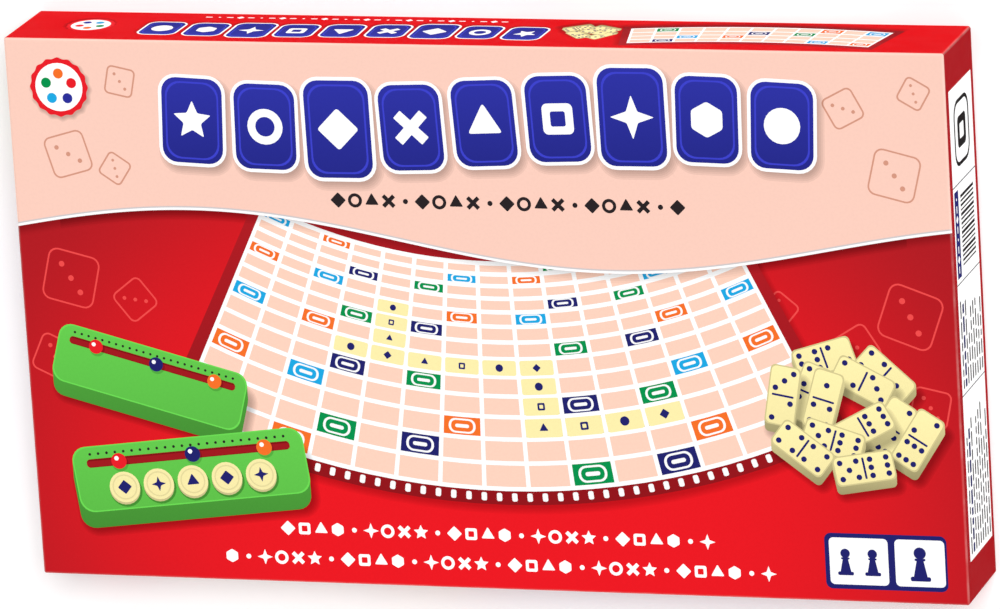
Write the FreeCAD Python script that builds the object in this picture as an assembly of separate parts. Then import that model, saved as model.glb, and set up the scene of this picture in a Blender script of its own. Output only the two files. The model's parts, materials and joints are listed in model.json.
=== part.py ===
"""Boxed word game with a revolving board: lidded card box, two formed trays, board on a turntable,
four score racks, letter tiles and a folded rules leaflet.

Millimetres. X runs along the box, +Z is up, and the origin is the centre of the box's underside.
The box is built outwards: the contents set the wells, the wells set the trays, and the trays set
the base and the lid.
"""

import FreeCAD, Part
import math
import os

Vector = FreeCAD.Vector
X_AXIS, Z_AXIS = Vector(1, 0, 0), Vector(0, 0, 1)

# ---- driving dimensions -------------------------------------------------------------------------
# Box: greyboard shells covered with printed paper. The lid reaches down over the whole base.
card_wall = 1.5
paper = 0.25
edge_bevel = 0.8
lid_side_clearance = 0.6
lid_floor_clearance = 1.0
turn_in = 12.0
headspace = 6.25

# Formed plastic trays inside the box
sheet = 0.8
tray_depth = 38.25
tray_side_clearance = 0.4
tray_gap = 1.1
skirt_bevel = 4.0
corner_gap = 0.6
draft_degrees = 2.0
well_margin = 3.0
well_divider = 5.0

# Board
grid_cells = 15
cell_pitch = 14.0
rib_width = 1.2
rib_height = 1.6
board_border = 8.1
board_plate = 4.0
board_corner_radius = 5.0
board_rim_chamfer = 0.7
board_fit = 0.65
board_top_below_deck = 1.6
card_thickness = 0.8
card_fit = 0.15

# Turntable under the board
bearing_diameter = 120.0
bearing_width = 5.0
bearing_drop = 2.6
bearing_rib_width = 1.6
glide_pad_count = 8
glide_pad_length = 12.0
glide_pad_height = 1.4
glide_pad_seat = 0.5
running_gap = 0.15
turntable_plate = 2.5
turntable_land = 10.5
turntable_rim_height = 1.6
turntable_rim_width = 2.0
stiffener_count = 8
stiffener_width = 1.4
foot_radius = 7.0
foot_height = 2.4
foot_inset = 6.0
foot_count = 4
turntable_side_clearance = 5.0
turntable_floor_clearance = 2.4

# Pivot that holds the turntable to the board
pivot_radius = 3.0
pivot_bore_clearance = 0.06
pivot_press_clearance = 0.02
pivot_engagement = 3.4
pivot_end_gap = 0.1
pivot_head_radius = 7.5
pivot_head_height = 1.6
pivot_head_gap = 0.08
boss_radius = 9.0
boss_margin = 3.0

# Letter racks
rack_count = 4
rack_wall = 1.8
rack_slope_degrees = 64.0
rack_face_length = 27.0
rack_ledge = 6.6
rack_lip_height = 4.4
rack_lip_bead = 0.8
rack_heel = 3.95
rack_heel_height = 2.8
rack_band_height = 8.6
rack_band_step = 0.6
rack_gusset_count = 2
rack_gusset_width = 1.2
rack_gusset_clear = 3.0
rack_gusset_nose = 2.0
rack_gap = 6.0
rack_play = 1.5
rack_top_below_deck = 0.9
ridge_height = 1.8
ridge_clearance = 0.25
ridge_end = 4.0

# Score slots and the pointers that slide in them, three to a rack
slot_width = 2.0
slot_from_top = 4.4
slot_bridge = 6.5
slot_end_margin = 4.35
digit_count = 10
digit_pitch = 2.9
pointer_digits = (1, 1, 2)
pointer_names = ("units", "tens", "hundreds")
pointer_clearance = 0.1
pointer_play = 0.12
pointer_width = 4.4
pointer_foot = 2.0
pointer_shoulder = 1.4
pointer_tip = 3.2
pointer_thickness = 1.1
pointer_chamfer = 0.25
pointer_neck_length = 1.8
pointer_tail_height = 3.6
pointer_tail_thickness = 0.9

# Letter tiles, one layer face up
tile_size = 12.5
tile_thickness = 4.2
tile_chamfer = 0.5
tile_gap = 0.3
tile_columns = 13
tile_count = 100
tile_play = 1.5
tile_top_below_deck = 3.0

# Rules leaflet, folded to and fro
leaflet_width = 52.0
leaflet_length = 112.0
leaflet_sheet = 0.3
leaflet_fold_gap = 0.25
leaflet_panels = 6
leaflet_play = 1.5
leaflet_top_below_deck = 3.0

# ---- racks: sizes and places that follow --------------------------------------------------------
rack_slope = math.radians(rack_slope_degrees)
rack_face_direction = Vector(0, math.cos(rack_slope), math.sin(rack_slope))
rack_face_normal = Vector(0, -math.sin(rack_slope), math.cos(rack_slope))
slot_position = rack_face_length - slot_from_top
slot_length = (digit_count - 1) * digit_pitch + pointer_neck_length + 2 * pointer_clearance
slot_pitch = slot_length + slot_bridge
slot_count = len(pointer_names)
rack_length = slot_count * slot_length + (slot_count - 1) * slot_bridge + 2 * slot_end_margin
rack_depth = (
    rack_ledge
    + rack_face_length * math.cos(rack_slope)
    + rack_wall * math.sin(rack_slope)
    + rack_heel
)
rack_height = (
    rack_wall
    + rack_face_length * math.sin(rack_slope)
    + rack_band_step * math.cos(rack_slope)
)
rack_pitch = rack_depth + rack_gap

# ---- trays: each well takes its size from what lies in it ---------------------------------------
board_size = grid_cells * cell_pitch + 2 * board_border
board_well = board_size + 2 * board_fit
tile_pitch = tile_size + tile_gap
tile_rows = math.ceil(tile_count / tile_columns)
tile_well_width = tile_columns * tile_pitch + 2 * tile_play
tile_well_depth = tile_rows * tile_pitch + 2 * tile_play
rack_well_width = rack_length + 2 * rack_play
rack_block_depth = rack_count * rack_depth + (rack_count - 1) * rack_gap
rack_well_depth = max(rack_block_depth + 2 * rack_play, leaflet_length + 2 * leaflet_play)
leaflet_well_width = leaflet_width + 2 * leaflet_play
parts_wells_width = max(tile_well_width, rack_well_width + well_divider + leaflet_well_width)
parts_wells_depth = tile_well_depth + well_divider + rack_well_depth
square_corner_bevel = 2 * min(tile_play, rack_play, leaflet_play) - corner_gap
round_corner_bevel = (2 - math.sqrt(2)) * board_corner_radius + 2 * board_fit - corner_gap

bay_depth = max(board_well, parts_wells_depth) + 2 * well_margin
board_bay_width = board_well + 2 * well_margin
parts_bay_width = parts_wells_width + 2 * well_margin

# ---- box: built out from the trays --------------------------------------------------------------
base_inner_length = board_bay_width + tray_gap + parts_bay_width + 2 * tray_side_clearance
base_inner_width = bay_depth + 2 * tray_side_clearance
covered_wall = paper + card_wall + paper
base_outer_length = base_inner_length + 2 * covered_wall
base_outer_width = base_inner_width + 2 * covered_wall
lid_inner_length = base_outer_length + 2 * lid_side_clearance
lid_inner_width = base_outer_width + 2 * lid_side_clearance
box_length = lid_inner_length + 2 * covered_wall
box_width = lid_inner_width + 2 * covered_wall
base_floor = paper + card_wall
deck_height = base_floor + tray_depth
base_top = deck_height + headspace
box_height = base_top + card_wall + paper

# ---- places along the box -----------------------------------------------------------------------
bay_x_low = -base_inner_length / 2 + tray_side_clearance
board_bay_x_high = bay_x_low + board_bay_width
parts_bay_x_low = board_bay_x_high + tray_gap
bay_x_high = parts_bay_x_low + parts_bay_width
board_x = (bay_x_low + board_bay_x_high) / 2
parts_wells_x_low = parts_bay_x_low + well_margin
parts_wells_x_high = bay_x_high - well_margin
rack_well_x_high = parts_wells_x_low + rack_well_width
leaflet_well_x_low = rack_well_x_high + well_divider
tile_well_y_low = -parts_wells_depth / 2
tile_well_y_high = tile_well_y_low + tile_well_depth
rack_well_y_low = tile_well_y_high + well_divider
rack_well_y_high = rack_well_y_low + rack_well_depth

# ---- heights ------------------------------------------------------------------------------------
rack_floor = deck_height - rack_top_below_deck - rack_height
tile_floor = deck_height - tile_top_below_deck - tile_thickness
leaflet_thickness = (
    leaflet_panels * leaflet_sheet + (leaflet_panels - 1) * leaflet_fold_gap
)
leaflet_floor = deck_height - leaflet_top_below_deck - leaflet_thickness

board_top = deck_height - board_top_below_deck
board_underside = board_top - rib_height - board_plate
card_floor = board_top - rib_height - card_thickness
card_size = grid_cells * cell_pitch + rib_width

turntable_radius = (bearing_diameter + bearing_width) / 2 + turntable_land + turntable_rim_width
glide_pad_top = board_underside - bearing_drop - running_gap
turntable_top = glide_pad_top - glide_pad_height + glide_pad_seat
turntable_bottom = turntable_top - turntable_plate
turntable_well_radius = turntable_radius + turntable_side_clearance
turntable_well_floor = turntable_bottom - foot_height - turntable_floor_clearance
boss_bottom = turntable_top + running_gap
pivot_hole_top = boss_bottom + pivot_engagement


# ---- small helpers ------------------------------------------------------------------------------
def block(x_low, x_high, y_low, y_high, z_low, z_high):
    corner = Vector(x_low, y_low, z_low)
    return Part.makeBox(x_high - x_low, y_high - y_low, z_high - z_low, corner)


def centred_block(length, width, z_low, z_high):
    return block(-length / 2, length / 2, -width / 2, width / 2, z_low, z_high)


def disc(radius, z_low, z_high, x=0.0, y=0.0):
    return Part.makeCylinder(radius, z_high - z_low, Vector(x, y, z_low))


def ring(outer_radius, inner_radius, z_low, z_high, x=0.0, y=0.0):
    return disc(outer_radius, z_low, z_high, x, y).cut(disc(inner_radius, z_low, z_high, x, y))


def rounded_block(x_low, x_high, y_low, y_high, z_low, z_high, radius):
    """A block whose four upright edges are rounded."""
    centres = (
        (x_high - radius, y_high - radius),
        (x_low + radius, y_high - radius),
        (x_low + radius, y_low + radius),
        (x_high - radius, y_low + radius),
    )
    arcs = []
    for number, (x, y) in enumerate(centres):
        start = 90.0 * number
        arcs.append(Part.makeCircle(radius, Vector(x, y, z_low), Z_AXIS, start, start + 90.0))
    edges = []
    for arc, following in zip(arcs, arcs[1:] + arcs[:1]):
        edges.append(arc)
        edges.append(Part.makeLine(arc.Vertexes[-1].Point, following.Vertexes[0].Point))
    return Part.Face(Part.Wire(edges)).extrude(Vector(0, 0, z_high - z_low))


def bevelled_outline(x_low, x_high, y_low, y_high, z, bevel, grow=0.0):
    """A closed wire: a rectangle with bevelled corners, offset outwards by grow all round."""
    cut = bevel + grow * (2 - math.sqrt(2))
    x_low, x_high, y_low, y_high = x_low - grow, x_high + grow, y_low - grow, y_high + grow
    points = [
        Vector(x_high, y_high - cut, z), Vector(x_high - cut, y_high, z),
        Vector(x_low + cut, y_high, z), Vector(x_low, y_high - cut, z),
        Vector(x_low, y_low + cut, z), Vector(x_low + cut, y_low, z),
        Vector(x_high - cut, y_low, z), Vector(x_high, y_low + cut, z),
    ]
    return Part.makePolygon(points + points[:1])


def bevelled_block(x_low, x_high, y_low, y_high, z_low, z_high, bevel, grow=0.0):
    outline = bevelled_outline(x_low, x_high, y_low, y_high, z_low, bevel, grow)
    return Part.Face(outline).extrude(Vector(0, 0, z_high - z_low))


def covered_block(length, width, z_low, z_high, inset):
    """The solid form of a box part, inset from its paper's outer face."""
    half_x, half_y = length / 2, width / 2
    return bevelled_block(-half_x, half_x, -half_y, half_y, z_low, z_high, edge_bevel, -inset)


def well_shape(x_low, x_high, y_low, y_high, floor, top, bevel, grow=0.0):
    """A drafted pocket: the stated outline at its floor, opening wider towards the top."""
    wide = grow + (top - floor) * math.tan(math.radians(draft_degrees))
    outlines = [
        bevelled_outline(x_low, x_high, y_low, y_high, z, bevel, out)
        for out, z in ((grow, floor), (wide, top))
    ]
    return Part.makeLoft(outlines, True, True)


def top_face(shape):
    return max(shape.Faces, key=lambda face: face.CenterOfMass.z)


def polygon_prism(points_yz, x_low, x_high):
    """A prism along X from a profile of (y, z) points."""
    points = [Vector(x_low, y, z) for y, z in points_yz]
    face = Part.Face(Part.makePolygon(points + points[:1]))
    return face.extrude(Vector(x_high - x_low, 0, 0))


def save(shape, node):
    shape = shape.removeSplitter()
    for solid in shape.Solids:
        if not solid.isValid():
            raise ValueError(node + " has a solid that is not valid")
    shape.exportStep("parts/" + node + ".step")


# ---- box: lid and base --------------------------------------------------------------------------
def top_edges_bevelled(solid, inset):
    """Breaks the edges round a lid's top. The bevel under the paper is concentric with its own."""
    width = edge_bevel - inset * (2 - math.sqrt(2))
    return solid.makeChamfer(width, top_face(solid).Edges)


def make_lid():
    """Greyboard lid and the printed paper that covers it and turns in over its lower edge."""
    shell_bottom = lid_floor_clearance + paper
    shell_top = box_height - paper
    cavity_length, cavity_width = lid_inner_length + 2 * paper, lid_inner_width + 2 * paper
    outside = covered_block(box_length, box_width, lid_floor_clearance, box_height, 0.0)
    outside = top_edges_bevelled(outside, 0.0)
    board = covered_block(box_length, box_width, shell_bottom, shell_top, paper)
    board = top_edges_bevelled(board, paper)
    shell = board.cut(centred_block(cavity_length, cavity_width, 0.0, base_top))
    cover = outside.cut(board)
    cover = cover.cut(centred_block(cavity_length, cavity_width, 0.0, shell_bottom))
    turned = centred_block(
        cavity_length, cavity_width, lid_floor_clearance, shell_bottom + turn_in
    )
    turned = turned.cut(centred_block(lid_inner_length, lid_inner_width, 0.0, box_height))
    return shell, cover.fuse(turned)


def make_base():
    """Greyboard base, its paper, turned in over the top edge, and the sheet under its floor."""
    cavity_length, cavity_width = base_inner_length + 2 * paper, base_inner_width + 2 * paper
    cavity = centred_block(cavity_length, cavity_width, base_floor, box_height)
    bottom_sheet = covered_block(base_outer_length, base_outer_width, 0.0, paper, 0.0)
    board = covered_block(base_outer_length, base_outer_width, paper, base_top - paper, paper)
    shell = board.cut(cavity)
    outside = covered_block(base_outer_length, base_outer_width, paper, base_top, 0.0)
    cover = outside.cut(board).cut(cavity)
    turned = centred_block(cavity_length, cavity_width, base_top - paper - turn_in, base_top)
    turned = turned.cut(centred_block(base_inner_length, base_inner_width, 0.0, box_height))
    return shell, cover.fuse(turned), bottom_sheet


# ---- formed trays -------------------------------------------------------------------------------
def formed_bay(x_low, x_high):
    """An open-bottomed deck with a skirt that stands on the box's floor."""
    span = (x_low, x_high, -bay_depth / 2, bay_depth / 2)
    outside = bevelled_block(*span, base_floor, deck_height, skirt_bevel)
    return outside.cut(bevelled_block(*span, base_floor, deck_height - sheet, skirt_bevel, -sheet))


def press_well(bay, x_low, x_high, y_low, y_high, floor, bevel):
    """Presses one drafted pocket into a bay, keeping the sheet's thickness."""
    span = (x_low, x_high, y_low, y_high)
    outer = well_shape(*span, floor - sheet, deck_height, bevel, sheet)
    inner = well_shape(*span, floor, deck_height + sheet, bevel)
    return bay.fuse(outer).cut(inner)


def press_ridge(bay, x_low, x_high, y_low, y_high, floor, height):
    """Raises a hollow ridge in the floor of a well."""
    outer = block(x_low, x_high, y_low, y_high, floor - sheet, floor + height)
    inner = block(
        x_low + sheet, x_high - sheet, y_low + sheet, y_high - sheet,
        floor - 2 * sheet, floor + height - sheet,
    )
    return bay.fuse(outer).cut(inner)


def make_board_tray():
    """Square well whose ledge carries the board, with a round well for the turntable."""
    bay = formed_bay(bay_x_low, board_bay_x_high)
    half = board_well / 2
    bay = press_well(
        bay, board_x - half, board_x + half, -half, half, board_underside, round_corner_bevel
    )
    depth = board_underside - turntable_well_floor
    spread = depth * math.tan(math.radians(draft_degrees))
    low, high = turntable_well_radius, turntable_well_radius + spread
    cup = Part.makeCone(
        low + sheet, high + sheet, depth, Vector(board_x, 0, turntable_well_floor - sheet)
    )
    hollow = Part.makeCone(low, high, depth, Vector(board_x, 0, turntable_well_floor))
    return bay.fuse(cup).cut(hollow)


def make_parts_tray():
    """Wells for the racks, the leaflet and the tiles. Low ridges keep the racks apart."""
    bay = formed_bay(parts_bay_x_low, bay_x_high)
    bay = press_well(
        bay, parts_wells_x_low, rack_well_x_high,
        rack_well_y_low, rack_well_y_high, rack_floor, square_corner_bevel,
    )
    bay = press_well(
        bay, leaflet_well_x_low, parts_wells_x_high,
        rack_well_y_low, rack_well_y_high, leaflet_floor, square_corner_bevel,
    )
    bay = press_well(
        bay, parts_wells_x_low, parts_wells_x_high,
        tile_well_y_low, tile_well_y_high, tile_floor, square_corner_bevel,
    )
    for number in range(rack_count - 1):
        bay = press_ridge(
            bay, parts_wells_x_low + ridge_end, rack_well_x_high - ridge_end,
            rack_front(number) + rack_depth + ridge_clearance,
            rack_front(number + 1) - ridge_clearance, rack_floor, ridge_height,
        )
    return bay


# ---- board --------------------------------------------------------------------------------------
def make_board_plate():
    """Moulded plate: recess for the printed card, bearing rib and pivot boss underneath."""
    half = board_size / 2
    plate = rounded_block(
        board_x - half, board_x + half, -half, half,
        board_underside, board_underside + board_plate, board_corner_radius,
    )
    plate = plate.makeChamfer(board_rim_chamfer, top_face(plate).Edges)
    recess = card_size / 2 + card_fit
    plate = plate.cut(block(
        board_x - recess, board_x + recess, -recess, recess, card_floor, board_top
    ))
    outer = (bearing_diameter + bearing_rib_width) / 2
    bearing = ring(
        outer, outer - bearing_rib_width, board_underside - bearing_drop, board_underside, board_x
    )
    boss = disc(boss_radius, boss_bottom, board_underside, board_x)
    hole = disc(pivot_radius + pivot_press_clearance, boss_bottom, pivot_hole_top, board_x)
    return plate.fuse(bearing).fuse(boss).cut(hole)


def make_board_card():
    half = card_size / 2
    return block(
        board_x - half, board_x + half, -half, half, card_floor, card_floor + card_thickness
    )


def make_board_grid():
    """One moulding: open cells between ribs that stop the tiles sliding."""
    corner = Vector(board_x - card_size / 2, -card_size / 2, card_floor + card_thickness)
    opening = cell_pitch - rib_width
    wires = [Part.makePlane(card_size, card_size, corner).OuterWire]
    for column in range(grid_cells):
        for row in range(grid_cells):
            step = Vector(rib_width + column * cell_pitch, rib_width + row * cell_pitch, 0)
            wires.append(Part.makePlane(opening, opening, corner + step).OuterWire)
    face = Part.makeFace(wires, "Part::FaceMakerBullseye")
    return face.extrude(Vector(0, 0, rib_height))


# ---- turntable ----------------------------------------------------------------------------------
def glide_pad(number):
    """One of the strips that the board's bearing rib runs on."""
    mean, half = bearing_diameter / 2, bearing_width / 2
    pad = block(
        board_x + mean - half, board_x + mean + half, -glide_pad_length / 2, glide_pad_length / 2,
        glide_pad_top - glide_pad_height, glide_pad_top,
    )
    pad.rotate(Vector(board_x, 0, 0), Z_AXIS, number * 360.0 / glide_pad_count)
    return pad


def make_turntable_disc():
    """Round plate: rim, seats for the glide pads, radial stiffeners and pivot bore."""
    plate = disc(turntable_radius, turntable_bottom, turntable_top, board_x)
    rim_top = turntable_top + turntable_rim_height
    plate = plate.fuse(ring(
        turntable_radius, turntable_radius - turntable_rim_width, turntable_bottom, rim_top, board_x
    ))
    inner_end = boss_radius + boss_margin
    outer_end = (bearing_diameter - bearing_width) / 2 - bearing_rib_width
    for number in range(stiffener_count):
        rib = block(
            board_x + inner_end, board_x + outer_end, -stiffener_width / 2, stiffener_width / 2,
            turntable_bottom, rim_top,
        )
        rib.rotate(Vector(board_x, 0, 0), Z_AXIS, (number + 0.5) * 360.0 / stiffener_count)
        plate = plate.fuse(rib)
    for number in range(glide_pad_count):
        plate = plate.cut(glide_pad(number))
    return plate.cut(disc(
        pivot_radius + pivot_bore_clearance, turntable_bottom, turntable_top, board_x
    ))


def make_glide_pads():
    return Part.makeCompound([glide_pad(number) for number in range(glide_pad_count)])


def make_feet():
    circle_radius = turntable_radius - foot_radius - foot_inset
    feet = []
    for number in range(foot_count):
        angle = 2 * math.pi * (number + 0.5) / foot_count
        x, y = board_x + circle_radius * math.cos(angle), circle_radius * math.sin(angle)
        feet.append(disc(foot_radius, turntable_bottom - foot_height, turntable_bottom, x, y))
    return Part.makeCompound(feet)


def make_pivot_pin():
    """Headed pin, pressed into the board's boss, that the turntable turns on."""
    head_top = turntable_bottom - pivot_head_gap
    head = disc(pivot_head_radius, head_top - pivot_head_height, head_top, board_x)
    return head.fuse(disc(pivot_radius, head_top, pivot_hole_top - pivot_end_gap, board_x))


# ---- letter racks and score pointers ------------------------------------------------------------
def rack_front(number):
    """Y of a rack's front edge."""
    middle = (rack_well_y_low + rack_well_y_high) / 2
    return middle - rack_block_depth / 2 + number * rack_pitch


def rack_origin(number):
    """Front lower edge of a rack, at the middle of its length."""
    x = (parts_wells_x_low + rack_well_x_high) / 2
    return Vector(x, rack_front(number), rack_floor)


def face_point(along, out=0.0):
    """(y, z) of a point on the sloping face: how far up the slope, how far out from it."""
    point = rack_face_direction * along + rack_face_normal * out
    return rack_ledge + point.y, rack_wall + point.z


def on_rack_face(shape, x, along):
    """Turns a shape made flat, with +Y up the slope and +Z out of it, onto the rack's face."""
    placed = shape.copy()
    placed.rotate(Vector(0, 0, 0), X_AXIS, rack_slope_degrees)
    y, z = face_point(along)
    placed.translate(Vector(x, y, z))
    return placed


def make_rack_blank():
    """Sloping face with its raised score band, foot plate, front lip, cheeks and gussets."""
    half = rack_length / 2
    band_start = rack_face_length - rack_band_height
    face = polygon_prism(
        [
            face_point(-rack_wall),
            face_point(band_start),
            face_point(band_start + rack_band_step, rack_band_step),
            face_point(rack_face_length, rack_band_step),
            face_point(rack_face_length, -rack_wall),
            face_point(-rack_wall, -rack_wall),
        ],
        -half, half,
    )
    face = face.common(block(-half, half, 0, rack_depth, 0, 2 * rack_height))
    foot = block(-half, half, 0, rack_depth, 0, rack_wall)
    lip = block(-half, half, 0, rack_wall, 0, rack_lip_height)
    long_top_edges = [
        edge for edge in top_face(lip).Edges if edge.Length > rack_length / 2
    ]
    lip = lip.makeFillet(rack_lip_bead, long_top_edges)
    blank = face.fuse(foot).fuse(lip)

    inside_foot = face_point(0.0, -rack_wall / 2)
    cheek = [
        inside_foot,
        (inside_foot[0], rack_wall / 2),
        (rack_depth, rack_wall / 2),
        (rack_depth, rack_heel_height),
        face_point(rack_face_length, -rack_wall),
        face_point(rack_face_length, -rack_wall / 2),
    ]
    for x_low in (-half, half - rack_wall):
        blank = blank.fuse(polygon_prism(cheek, x_low, x_low + rack_wall))
    gusset_top = face_point(band_start - rack_gusset_clear, -rack_wall)
    gusset = [
        inside_foot,
        (inside_foot[0], rack_wall / 2),
        (gusset_top[0] + rack_gusset_nose, rack_wall / 2),
        gusset_top,
        face_point(band_start - rack_gusset_clear, -rack_wall / 2),
    ]
    for number in range(rack_gusset_count):
        x = -half + rack_length * (number + 1) / (rack_gusset_count + 1)
        x_low, x_high = x - rack_gusset_width / 2, x + rack_gusset_width / 2
        blank = blank.fuse(polygon_prism(gusset, x_low, x_high))
    return blank


def slot_x(index):
    return (index - (slot_count - 1) / 2) * slot_pitch


def slot_cutter(index):
    """A slot through the score band, square to the sloping face."""
    reach = 2 * rack_wall
    cutter = block(
        -slot_length / 2, slot_length / 2, -slot_width / 2, slot_width / 2, -reach, reach
    )
    return on_rack_face(cutter, slot_x(index), slot_position)


def make_rack():
    rack = make_rack_blank()
    for index in range(slot_count):
        rack = rack.cut(slot_cutter(index))
    return rack


def make_pointer(index, digit):
    """Arrow head over the band, neck through the slot, and a tail that holds it behind."""
    front = rack_band_step + pointer_play
    back = -rack_wall - pointer_play
    half = pointer_width / 2
    outline = [
        Vector(-half, -pointer_foot, front),
        Vector(half, -pointer_foot, front),
        Vector(half, pointer_shoulder - pointer_foot, front),
        Vector(0, pointer_tip - pointer_foot + pointer_shoulder, front),
        Vector(-half, pointer_shoulder - pointer_foot, front),
    ]
    head = Part.Face(Part.makePolygon(outline + outline[:1]))
    head = head.extrude(Vector(0, 0, pointer_thickness))
    head = head.makeChamfer(pointer_chamfer, top_face(head).Edges)
    neck_x, neck_y = pointer_neck_length / 2, slot_width / 2 - pointer_clearance
    tail_end = back - pointer_tail_thickness
    neck = block(-neck_x, neck_x, -neck_y, neck_y, tail_end, front + pointer_thickness / 2)
    tail_y = pointer_tail_height / 2
    tail = block(-half, half, -tail_y, tail_y, tail_end, back)
    x = slot_x(index) + (digit - (digit_count - 1) / 2) * digit_pitch
    return on_rack_face(head.fuse(neck).fuse(tail), x, slot_position)


# ---- tiles and leaflet --------------------------------------------------------------------------
def make_tiles():
    """A layer of tiles, laid row by row from the back of their well."""
    tile = Part.makeBox(tile_size, tile_size, tile_thickness)
    tile = tile.makeChamfer(tile_chamfer, top_face(tile).Edges)
    x_start = (parts_wells_x_low + parts_wells_x_high - tile_columns * tile_pitch + tile_gap) / 2
    y_start = (tile_well_y_low + tile_well_y_high + tile_rows * tile_pitch - tile_gap) / 2
    tiles = []
    for number in range(tile_count):
        row, column = divmod(number, tile_columns)
        copy = tile.copy()
        copy.translate(Vector(
            x_start + column * tile_pitch, y_start - tile_size - row * tile_pitch, tile_floor
        ))
        tiles.append(copy)
    return Part.makeCompound(tiles)


def make_leaflet():
    """A sheet folded to and fro: flat panels joined at alternate long edges."""
    x_low = (leaflet_well_x_low + parts_wells_x_high - leaflet_width) / 2
    x_high = x_low + leaflet_width
    y_low = (rack_well_y_low + rack_well_y_high - leaflet_length) / 2
    y_high = y_low + leaflet_length
    step = leaflet_sheet + leaflet_fold_gap
    outline = []
    for number in range(leaflet_panels):
        low = leaflet_floor + number * step
        outline.append(block(x_low, x_high, y_low, y_high, low, low + leaflet_sheet))
        if number + 1 < leaflet_panels:
            fold_x = x_high - leaflet_sheet if number % 2 == 0 else x_low
            outline.append(block(
                fold_x, fold_x + leaflet_sheet, y_low, y_high, low, low + step + leaflet_sheet
            ))
    return outline[0].multiFuse(outline[1:])


# ---- all the nodes ------------------------------------------------------------------------------
def main():
    os.makedirs("parts", exist_ok=True)
    lid_shell, lid_cover = make_lid()
    save(lid_shell, "lid_shell")
    save(lid_cover, "lid_cover_paper")
    base_shell, base_cover, bottom_sheet = make_base()
    save(base_shell, "base_shell")
    save(base_cover, "base_cover_paper")
    save(bottom_sheet, "base_bottom_sheet")
    save(make_board_tray(), "board_tray")
    save(make_parts_tray(), "parts_tray")

    save(make_board_plate(), "board_plate")
    save(make_board_card(), "board_card")
    save(make_board_grid(), "board_grid")
    save(make_turntable_disc(), "turntable_disc")
    save(make_glide_pads(), "turntable_glide_pads")
    save(make_feet(), "turntable_feet")
    save(make_pivot_pin(), "pivot_pin")

    rack = make_rack()
    for number in range(rack_count):
        placed = rack.copy()
        placed.translate(rack_origin(number))
        save(placed, "rack_%d" % (number + 1))
        for index, digit in enumerate(pointer_digits):
            pointer = make_pointer(index, digit)
            pointer.translate(rack_origin(number))
            save(pointer, "rack_%d_pointer_%s" % (number + 1, pointer_names[index]))

    save(make_tiles(), "letter_tiles")
    save(make_leaflet(), "rules_leaflet")
    print("box %.2f x %.2f x %.2f mm" % (box_length, box_width, box_height))
    print("rack %.2f x %.2f x %.2f mm" % (rack_length, rack_depth, rack_height))


main()
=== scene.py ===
import json
import math
import random

import bpy
from mathutils import Matrix, Vector, geometry

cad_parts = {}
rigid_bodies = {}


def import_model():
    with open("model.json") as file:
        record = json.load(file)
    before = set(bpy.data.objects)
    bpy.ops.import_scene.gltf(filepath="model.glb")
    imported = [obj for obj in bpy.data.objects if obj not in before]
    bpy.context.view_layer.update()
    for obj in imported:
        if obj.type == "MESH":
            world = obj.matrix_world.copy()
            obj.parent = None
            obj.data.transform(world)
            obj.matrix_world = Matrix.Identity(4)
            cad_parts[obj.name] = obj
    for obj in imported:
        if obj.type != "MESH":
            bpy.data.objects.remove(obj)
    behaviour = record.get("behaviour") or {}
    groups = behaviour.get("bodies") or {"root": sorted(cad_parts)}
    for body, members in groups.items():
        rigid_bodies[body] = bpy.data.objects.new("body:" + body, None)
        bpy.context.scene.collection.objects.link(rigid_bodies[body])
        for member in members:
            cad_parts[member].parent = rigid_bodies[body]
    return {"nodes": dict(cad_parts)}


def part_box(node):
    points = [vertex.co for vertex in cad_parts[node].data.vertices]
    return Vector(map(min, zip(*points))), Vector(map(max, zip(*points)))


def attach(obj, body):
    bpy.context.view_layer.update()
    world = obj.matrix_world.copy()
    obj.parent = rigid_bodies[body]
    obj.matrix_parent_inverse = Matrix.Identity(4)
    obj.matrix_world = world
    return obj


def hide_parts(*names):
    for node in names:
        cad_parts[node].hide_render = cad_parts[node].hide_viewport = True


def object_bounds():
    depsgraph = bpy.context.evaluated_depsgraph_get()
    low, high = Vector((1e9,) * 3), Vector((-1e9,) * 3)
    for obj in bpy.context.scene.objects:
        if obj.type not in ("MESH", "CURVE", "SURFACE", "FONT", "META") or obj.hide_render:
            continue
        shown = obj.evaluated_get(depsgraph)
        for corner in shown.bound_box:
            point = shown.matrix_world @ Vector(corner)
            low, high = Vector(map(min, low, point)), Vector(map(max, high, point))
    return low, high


# Looks for a boxed word game: the printed wrap of the lid, formed trays, board, racks, tiles and leaflet.
# Lengths are in millimetres, in the frame's axes, until a mesh is made. Angles are in degrees.
MM = 0.001
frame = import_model()
cad_low, cad_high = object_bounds()


# ---- sizes taken from the frame ----
def span(node):
    """A node's lowest and highest corners in millimetres."""
    low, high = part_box(node)
    return low / MM, high / MM


lid_low, lid_high = span("lid_cover_paper")
lid_half = (lid_high.x, lid_high.y)
lid_floor, lid_top = lid_low.z, lid_high.z
greyboard_thickness, paper = 1.5, 0.25
wrapped_wall = greyboard_thickness + 2 * paper
edge_radius, fold_radius, turn_in = 1.2, 0.5, 12.0


# ---- node materials ----
def linear(code):
    """A shader colour from a #rrggbb code."""
    parts = [int(code[i:i + 2], 16) / 255 for i in (1, 3, 5)]
    return [p / 12.92 if p <= 0.04045 else ((p + 0.055) / 1.055) ** 2.4 for p in parts] + [1.0]


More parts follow.
